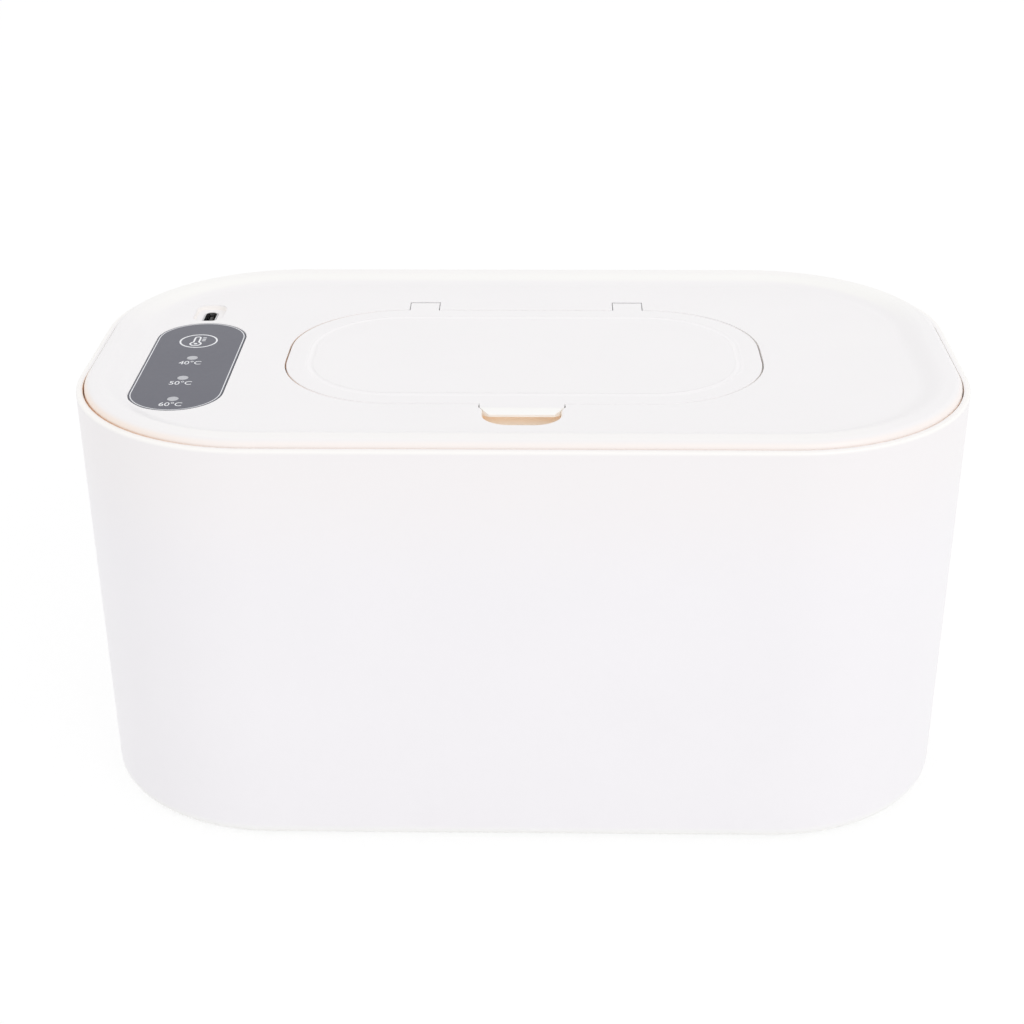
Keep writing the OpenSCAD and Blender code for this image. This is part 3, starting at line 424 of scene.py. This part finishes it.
def paint_pocket_light(g, place, tone):
    """Painted light on the upper part of the wall round the socket, near white with a faint warm glow,
    against its shade.
    """
    z = g.axes(place)[2]
    inset = g.inset(place, POCKET)
    wall = g.both(g.ramp(inset, -0.3, -0.1), g.ramp(inset, 0.4, 0.05))
    upper = g.both(g.ramp(z, FLOOR_Z - 0.05, FLOOR_Z - 0.5), g.ramp(z, 94.0, 95.0))
    return g.mix(g.both(wall, upper), tone, srgb(254, 251, 248))


@material
def lid_plastic(g):
    place = g.place()
    tone, gloss, normal = moulding(g, place, *LID_TONES)
    # Painted light on the raised edge, the seam round the cover, the finger scoop and the socket's
    # pocket
    for paint_light in (paint_lid_edge_light, paint_well_light, paint_scoop_light, paint_pocket_light):
        tone = paint_light(g, place, tone)
    g.surface(tone, gloss, normal, IOR=PLASTIC_IOR)


@material
def flip_plastic(g):
    place = g.place()
    x, y, z = g.axes(place)
    inset = g.inset(place, WELL)
    tone, gloss, normal = moulding(g, place, *LID_TONES)
    # Painted highlight along the shallow line in the cover
    line = g.both(g.near(inset, LINE_IN, 0.2, 1.0), g.ramp(z, FLOOR_Z - 1.0, FLOOR_Z - 0.5))
    tone = g.mix(line, tone, srgb(250, 248, 249))
    # Painted light on the cover's edge in the seam round it
    edge = g.both(g.ramp(inset, 0.75, 0.4), g.ramp(z, FLOOR_Z - 0.15, FLOOR_Z - 0.4))
    tone = g.mix(edge, tone, cover_seam_light(g, x))
    # The narrow gaps at the hinge and the tab painted white against their shade
    tone = g.mix(slits(g, x, y, z), tone, WHITE)
    # Painted highlight on the front bevel of the finger tab
    tab_highlight = g.both(g.ramp(y, TAB_Y, TAB_Y - 0.5), g.ramp(z, FLOOR_Z - 0.9, FLOOR_Z - 0.6))
    tone = g.mix(tab_highlight, tone, srgb(252, 251, 249))
    g.surface(tone, gloss, normal, IOR=PLASTIC_IOR)


@material
def base_plastic(g):
    place = g.place()
    tone = g.mix(g.noise(place, 18.0, 3.0), srgb(236, 236, 235), srgb(241, 241, 240))
    grain = g.bump(g.cells(place, 0.5), 0.02)
    g.surface(tone, g.spread(g.noise(place, 4.0), 0.45, 0.6), grain)


def rubber(g, light, dark, depth, roughness, **constants):
    """Soft moulded material: cloudy, with a fine grain of the given depth."""
    place = g.place()
    tone = g.mix(g.noise(place, 5.0, 4.0), dark, light)
    normal = g.bump(g.noise(place, 0.25, 4.0, 0.7), depth)
    g.surface(tone, roughness, normal, **constants)


@material
def foot_rubber(g):
    rubber(g, srgb(206, 206, 205), srgb(196, 196, 194), 0.02, 0.75)


@material
def gasket_silicone(g):
    rubber(g, srgb(228, 228, 226), srgb(219, 219, 216), 0.006, 0.5, Subsurface_Weight=0.3,
           Subsurface_Scale=0.001)


@material
def insert_silicone(g):
    rubber(g, srgb(238, 235, 231), srgb(231, 228, 223), 0.005, 0.45, Subsurface_Weight=0.3,
           Subsurface_Scale=0.001)


def metal(g, light, dark, along, roughness, depth=0.003):
    """Metal with fine drawn or brushed lines that run along the given axis."""
    place = g.place()
    factors = {axis: (0.04 if axis == along else 1.0) for axis in "xyz"}
    lines = g.noise(g.stretch(place, **factors), 0.12, 4.0, 0.65)
    tone = g.mix(lines, dark, light)
    g.surface(tone, g.spread(lines, roughness, roughness + 0.16), g.bump(lines, depth), Metallic=1.0)


@material
def screw_steel(g):
    metal(g, srgb(206, 207, 210), srgb(168, 170, 175), "x", 0.26)


@material
def pin_steel(g):
    metal(g, srgb(218, 219, 222), srgb(186, 187, 191), "x", 0.18)


@material
def socket_steel(g):
    metal(g, srgb(222, 222, 224), srgb(190, 190, 194), "z", 0.16)


@material
def contact_gold(g):
    metal(g, srgb(236, 200, 120), srgb(208, 168, 84), "z", 0.2)


@material
def plate_aluminium(g):
    metal(g, srgb(226, 227, 229), srgb(196, 197, 200), "x", 0.28, 0.004)


@material
def panel_film(g):
    place = g.place()
    flake = g.noise(place, 0.12, 3.0, 0.7)
    cloud = g.noise(place, 30.0, 2.0)
    tone = g.mix(g.ramp(cloud, 0.3, 0.7), srgb(70, 71, 86), srgb(74, 75, 89))
    tone = g.mix(g.both(flake, 0.25), tone, srgb(90, 91, 104))
    g.surface(tone, g.spread(g.noise(place, 1.2, 3.0), 0.26, 0.34), g.bump(flake, 0.0015), IOR=1.5)


@material
def panel_print(g):
    place = g.place()
    tone = g.mix(g.noise(place, 0.4, 3.0), srgb(236, 237, 241), srgb(247, 248, 251))
    g.surface(tone, 0.45, g.bump(g.noise(place, 0.1, 2.0), 0.002))


@material
def guide_clear(g):
    place = g.place()
    tone = g.mix(g.noise(place, 0.8, 3.0), srgb(190, 191, 197), srgb(201, 202, 207))
    g.surface(tone, 0.35, g.bump(g.noise(place, 0.2, 3.0), 0.004), Transmission_Weight=0.1)


@material
def led_resin(g):
    place = g.place()
    tone = g.mix(g.noise(place, 0.7, 2.0), srgb(244, 236, 200), srgb(250, 246, 222))
    grain = g.bump(g.noise(place, 0.3), 0.003)
    g.surface(tone, 0.3, grain, Subsurface_Weight=0.4, Subsurface_Scale=0.0006)


# Plated holes in the board: half the pitch in X and in Y, and their radius
VIA_X, VIA_Y, VIA_R = 1.27, 1.905, 0.27


@material
def board_laminate(g):
    place = g.place()
    x, y, _ = g.axes(place)
    routes = g.cells(g.stretch(place, 1.0, 0.45, 0.0), 2.6, "DISTANCE_TO_EDGE")
    track = g.ramp(routes, 0.10, 0.05)
    weave = g.noise(g.stretch(place, 4.0, 4.0, 1.0), 1.2, 2.0)
    mask = g.mix(weave, srgb(22, 96, 60), srgb(28, 108, 68))
    tone = g.mix(track, mask, srgb(46, 138, 88))
    dot_x = g.math("PINGPONG", x, VIA_X)
    dot_y = g.math("PINGPONG", y, VIA_Y)
    away = g.math("SQRT", g.math("MULTIPLY_ADD", dot_x, dot_x, g.math("POWER", dot_y, 2.0)))
    via = g.both(g.ramp(away, VIA_R + 0.03, VIA_R - 0.03), g.ramp(g.noise(place, 6.0), 0.5, 0.56))
    tone = g.mix(via, tone, srgb(214, 190, 120))
    g.surface(tone, 0.32, g.bump(track, 0.03, g.bump(weave, 0.006)), IOR=1.5)


# Middles in X of the pieces that have tinned legs or caps, and how far from a middle those end
CHIP_XS = (middle_x("controller_chip"), middle_x("power_transistor"))
CAPACITOR_XS = (middle_x("board_capacitors"),)
LEG_END = 4.0


def legged(g, light, dark, middles, half_width, edge):
    """A chip's or capacitor's body, with tinned metal past half_width from the nearest middle in X."""
    place = g.place()
    x = g.axes(place)[0]
    away = None
    for middle in middles:
        gap = g.math("ABSOLUTE", g.math("SUBTRACT", x, middle))
        away = gap if away is None else g.math("MINIMUM", away, gap)
    near = g.ramp(away, LEG_END, LEG_END - 0.5)
    tinned = g.both(g.ramp(away, half_width - edge, half_width + edge), near)
    grain = g.noise(place, 0.15, 3.0, 0.7)
    tone = g.mix(tinned, g.mix(grain, dark, light), srgb(205, 206, 208))
    g.surface(tone, g.spread(tinned, 0.55, 0.28), g.bump(grain, 0.01), Metallic=tinned)


@material
def chip_resin(g):
    legged(g, srgb(54, 54, 56), srgb(38, 38, 40), CHIP_XS, 1.97, 0.02)


@material
def capacitor_body(g):
    legged(g, srgb(196, 164, 118), srgb(176, 142, 98), CAPACITOR_XS, 0.62, 0.03)


@material
def socket_resin(g):
    place = g.place()
    grain = g.noise(place, 0.2, 3.0)
    g.surface(g.mix(grain, srgb(22, 22, 24), srgb(32, 32, 34)), 0.5, g.bump(grain, 0.006))


@material
def pad_felt(g):
    place = g.place()
    fibre = g.noise(g.stretch(place, 1.0, 0.16, 1.0), 0.5, 4.0, 0.7)
    cross = g.noise(g.stretch(place, 0.16, 1.0, 1.0), 0.5, 4.0, 0.7)
    fluff = g.math("MAXIMUM", fibre, cross)
    tone = g.mix(g.ramp(fluff, 0.4, 0.7), srgb(206, 200, 184), srgb(236, 232, 220))
    g.surface(tone, 0.95, g.bump(fluff, 0.15), Sheen_Weight=0.3)


# Heating track: half the pitch of its turns, and how far the gap between two turns reaches
TRACK_PITCH, TRACK_GAP = 1.8, 1.1


@material
def heater_film(g):
    place = g.place()
    turns = g.math("PINGPONG", g.inset(place, HEATER), TRACK_PITCH)
    track = g.ramp(turns, TRACK_GAP - 0.1, TRACK_GAP + 0.1)
    amber = g.mix(g.noise(place, 8.0, 3.0), srgb(204, 122, 44), srgb(218, 140, 58))
    tone = g.mix(track, amber, srgb(150, 82, 34))
    g.surface(tone, 0.25, g.bump(track, 0.03), IOR=1.6)


@material
def fuse_body(g):
    place = g.place()
    speck = g.noise(place, 0.3, 4.0)
    g.surface(g.mix(speck, srgb(222, 218, 206), srgb(234, 231, 221)), 0.3, g.bump(speck, 0.005))


def insulation(g, light, dark):
    """Soft cover of a wire."""
    place = g.place()
    wave = g.noise(place, 1.4, 3.0)
    g.surface(g.mix(wave, dark, light), 0.38, g.bump(wave, 0.02))


@material
def lead_red(g):
    insulation(g, srgb(196, 32, 30), srgb(172, 22, 22))


@material
def lead_black(g):
    insulation(g, srgb(44, 44, 46), srgb(30, 30, 32))


def dress(obj, name):
    """Gives an object one material all over."""
    if not obj.material_slots:
        obj.data.materials.append(finish(name))
    for slot in obj.material_slots:
        slot.material = finish(name)


def dress_frame():
    """Gives each CAD node the material of its slot in the record, and smooth shading."""
    for part in frame["record"]["subparts"]:
        node = frame["nodes"][part["node"]]
        dress(node, part["material_slot"])
        smooth(node)


# Print on the control panel's film

# Thickness of the ink, and width of its lines
PRINT_H = 0.02
LINE_W = 0.4
# Border line: from the film's edge to the line, and its width
BORDER_IN, BORDER_W = 0.3, 0.2
# Key: its ring's radius and its place from the film's middle
RING_R = 4.5
RING_PLACE = Vector((-0.4, 15.5, 0))
# Thermometer in the ring: its bulb's place from the ring's middle, its size, and the marks beside it
SIGN_PLACE = Vector((-0.45, -1.8, 0))
STEM_R, BULB_R, STEM_H = 0.62, 1.25, 4.0
FILL_R = 0.45
MARK_SIDE, MARK_W = 1.6, 0.85
MARK_RISES = (2.0, 3.0, 4.0)
# Labels: their size, how far they are drawn together in width, and how far they lie before their light
LABELS = ("40", "50", "60")
LABEL_SIZE = 2.9
LABEL_SQUEEZE = 0.86
LABEL_FRONT = 3.3


def arc_points(middle, radius, start, end, count):
    """Points of an arc between two angles in degrees."""
    angles = [math.radians(start + (end - start) * i / count) for i in range(count + 1)]
    return [(middle[0] + radius * math.cos(a), middle[1] + radius * math.sin(a)) for a in angles]


def circle(radius, count=48):
    return arc_points((0, 0), radius, 0, 360, count)[:-1]


def box_loop(middle, width, height):
    """Corners of a rectangle round a middle."""
    x, y = middle
    return [(x + sx * width / 2, y + sy * height / 2) for sx, sy in ((-1, -1), (1, -1), (1, 1), (-1, 1))]


def stadium(width, length):
    """Outline of a bar along Y with round ends."""
    reach = length / 2 - width / 2
    back = arc_points((0, reach), width / 2, 0, 180, 32)
    front = arc_points((0, -reach), width / 2, 180, 360, 32)
    return back + front


def thermometer(stem_r, bulb_r, height):
    """Outline of an upright stem with a round top on a round bulb."""
    join = math.degrees(math.asin(stem_r / bulb_r))
    top = arc_points((0, height), stem_r, 0, 180, 12)
    bulb = arc_points((0, 0), bulb_r, 90 + join, 450 - join, 32)
    return top + bulb


def settle(obj, name):
    """Turns a curve or text object into a clean mesh object."""
    bpy.context.view_layer.update()
    mesh = bpy.data.meshes.new_from_object(obj.evaluated_get(bpy.context.evaluated_depsgraph_get()))
    source = obj.data
    bpy.data.objects.remove(obj)
    bpy.data.curves.remove(source)
    work = bmesh.new()
    work.from_mesh(mesh)
    bmesh.ops.remove_doubles(work, verts=work.verts, dist=0.001 * MM)
    work.to_mesh(mesh)
    work.free()
    made = bpy.data.objects.new(name, mesh)
    bpy.context.scene.collection.objects.link(made)
    return made


def print_on_film(obj, name, spot, squeeze=1.0):
    """Lays a flat shape on the film, so thin that it reads as ink, and lets it ride with the lid."""
    made = settle(obj, name)
    made.data.transform(Matrix.Translation(spot * MM) @ Matrix.Diagonal((squeeze, 1, 1, 1)))
    dress(made, "panel_print")
    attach(made, "lid")


def flat_shape(loops):
    """Flat filled shape from loops of (x, y) in mm; a loop inside another cuts a hole."""
    curve = bpy.data.curves.new("shape", "CURVE")
    curve.dimensions = "2D"
    curve.fill_mode = "BOTH"
    curve.extrude = PRINT_H * MM
    for loop in loops:
        spline = curve.splines.new("POLY")
        spline.points.add(len(loop) - 1)
        for point, (x, y) in zip(spline.points, loop):
            point.co = (x * MM, y * MM, 0, 1)
        spline.use_cyclic_u = True
    obj = bpy.data.objects.new("shape", curve)
    bpy.context.scene.collection.objects.link(obj)
    return obj


def label(text):
    curve = bpy.data.curves.new("label", "FONT")
    curve.body = text
    curve.size = LABEL_SIZE * MM
    curve.align_x = "CENTER"
    curve.align_y = "CENTER"
    curve.extrude = PRINT_H * MM
    obj = bpy.data.objects.new("label", curve)
    bpy.context.scene.collection.objects.link(obj)
    return obj


def print_border(middle, size):
    """A fine line just inside the film's edge."""
    insets = (BORDER_IN, BORDER_IN + BORDER_W)
    loops = [stadium(size.x - 2 * inset, size.y - 2 * inset) for inset in insets]
    print_on_film(flat_shape(loops), "print_border", middle)


def print_key(middle):
    """The key's ring, and the thermometer in it."""
    ring = [circle(RING_R), circle(RING_R - LINE_W)]
    print_on_film(flat_shape(ring), "print_key_ring", middle)
    half = LINE_W / 2
    sign = [
        thermometer(STEM_R + half, BULB_R + half, STEM_H),
        thermometer(STEM_R - half, BULB_R - half, STEM_H),
        circle(FILL_R, count=24),
        *[box_loop((MARK_SIDE, rise), MARK_W, LINE_W) for rise in MARK_RISES],
    ]
    print_on_film(flat_shape(sign), "print_thermometer", middle + SIGN_PLACE)


def print_labels(middle):
    """A label before each light, from the back one to the front one."""
    low, high = box_mm("light_guides")
    foot_r = (high.x - low.x) / 2
    light_ys = np.linspace(high.y - foot_r, low.y + foot_r, len(LABELS))
    for text, light_y in zip(LABELS, light_ys):
        spot = Vector((middle.x, light_y - LABEL_FRONT, middle.z))
        print_on_film(label(text + "°C"), "print_label_" + text, spot, LABEL_SQUEEZE)


def print_panel():
    low, high = box_mm("panel_film")
    middle = Vector(((low.x + high.x) / 2, (low.y + high.y) / 2, high.z))
    print_border(middle, high - low)
    print_key(middle + RING_PLACE)
    print_labels(middle)


# Studio

def build_floor():
    """White for the camera, but still darker where the object's shadow falls."""
    side = 2 * FLOOR_HALF * MM
    mesh = bpy.data.meshes.new("floor")
    corners = [(x, y, -FLOOR_DROP * MM) for x, y in box_loop((0, 0), side, side)]
    mesh.from_pydata(corners, [], [(0, 1, 2, 3)])
    obj = bpy.data.objects.new("floor", mesh)
    bpy.context.scene.collection.objects.link(obj)
    paper = bpy.data.materials.new("floor_paper")
    g = Graph(paper)
    matt = g.node("BsdfDiffuse", {"Color": FLOOR_COLOUR}).outputs[0]
    glow = g.node("Emission", {"Color": WHITE, "Strength": FLOOR_GLOW}).outputs[0]
    share = g.both(g.seen(), FLOOR_GLOW_SHARE)
    mixed = g.node("MixShader", {0: share, 1: matt, 2: glow}).outputs[0]
    g.node("OutputMaterial", {"Surface": mixed})
    obj.data.materials.append(paper)


def build_light():
    world = bpy.data.worlds.new("studio")
    g = Graph(world)
    strength = g.math("MULTIPLY_ADD", g.seen(), 1 - AMBIENT, AMBIENT)
    sky = g.node("Background", {"Color": WHITE, "Strength": strength}).outputs[0]
    g.node("OutputWorld", {"Surface": sky})
    bpy.context.scene.world = world
    lamp = bpy.data.lights.new("soft_lamp", "AREA")
    lamp.shape = "DISK"
    lamp.size = LAMP_SIZE * MM
    lamp.energy = LAMP_WATTS
    obj = bpy.data.objects.new("soft_lamp", lamp)
    obj.location = Vector(LAMP_PLACE) * MM
    obj.rotation_euler = (-obj.location).to_track_quat("-Z", "Y").to_euler()
    bpy.context.scene.collection.objects.link(obj)


def build_camera():
    data = bpy.data.cameras.new("camera")
    data.sensor_width = CAMERA_SENSOR
    data.lens = CAMERA_LENS
    data.clip_end = 10
    obj = bpy.data.objects.new("camera", data)
    obj.location = Vector(CAMERA_PLACE) * MM
    obj.rotation_euler = [math.radians(angle) for angle in (CAMERA_TILT, CAMERA_ROLL, CAMERA_TURN)]
    bpy.context.scene.collection.objects.link(obj)
    bpy.context.scene.camera = obj


build_camera()
dress_frame()
print_panel()
build_floor()
build_light()
bpy.context.scene.view_settings.view_transform = "Standard"
bpy.context.scene.cycles.diffuse_bounces = DIFFUSE_BOUNCES
